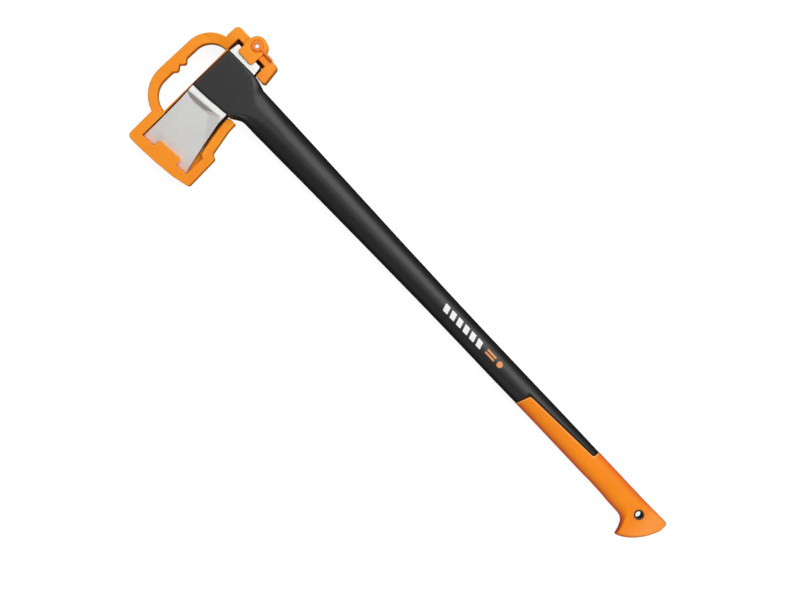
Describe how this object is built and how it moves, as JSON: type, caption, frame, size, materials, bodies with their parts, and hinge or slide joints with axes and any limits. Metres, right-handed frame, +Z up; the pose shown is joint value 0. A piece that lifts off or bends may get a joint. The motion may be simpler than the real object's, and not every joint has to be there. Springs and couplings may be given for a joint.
{
  "type": "splitting axe with clip-on blade guard",
  "caption": "Long-handled splitting axe with a wedge head, a hollow composite handle, an orange grip and a clip-on blade guard with a carry handle and swinging latch.",
  "frame": {"origin": "middle of the whole object's box in X and Y, on the surface that the axe lies on", "axes": "the axe lies on its side: +X runs along the handle from the butt to the head, +Y points to the cutting edge, and +Z is up, through the side of the head"},
  "size_m": [0.9632, 0.2346, 0.056],
  "materials": {
    "steel": "fine ground and blasted steel, polished at the cutting edge",
    "composite_black": "fibre-filled nylon with a fine spark-eroded texture, satin",
    "grip_orange": "orange soft overmould with a fine matt texture",
    "plug_black": "black nylon, matt",
    "liner_black": "black nylon, matt",
    "guard_orange": "moulded orange polypropylene with a fine texture",
    "latch_orange": "moulded orange polypropylene with a fine texture",
    "pin_orange": "moulded orange acetal, satin"
  },
  "bodies": {
    "root": {"head": "steel", "shaft": "composite_black", "grip": "grip_orange", "end_plug": "plug_black", "hang_hole_liner": "liner_black", "guard_frame": "guard_orange"},
    "latch": {"latch": "latch_orange", "latch_pin": "pin_orange"}
  },
  "joints": [
    {"name": "latch_hinge", "type": "hinge", "parent": "root", "child": "latch", "pos_m": [0.40905, -0.10275, 0.028], "axis": [0, 0, 1], "range_deg": [0, 135]}
  ]
}
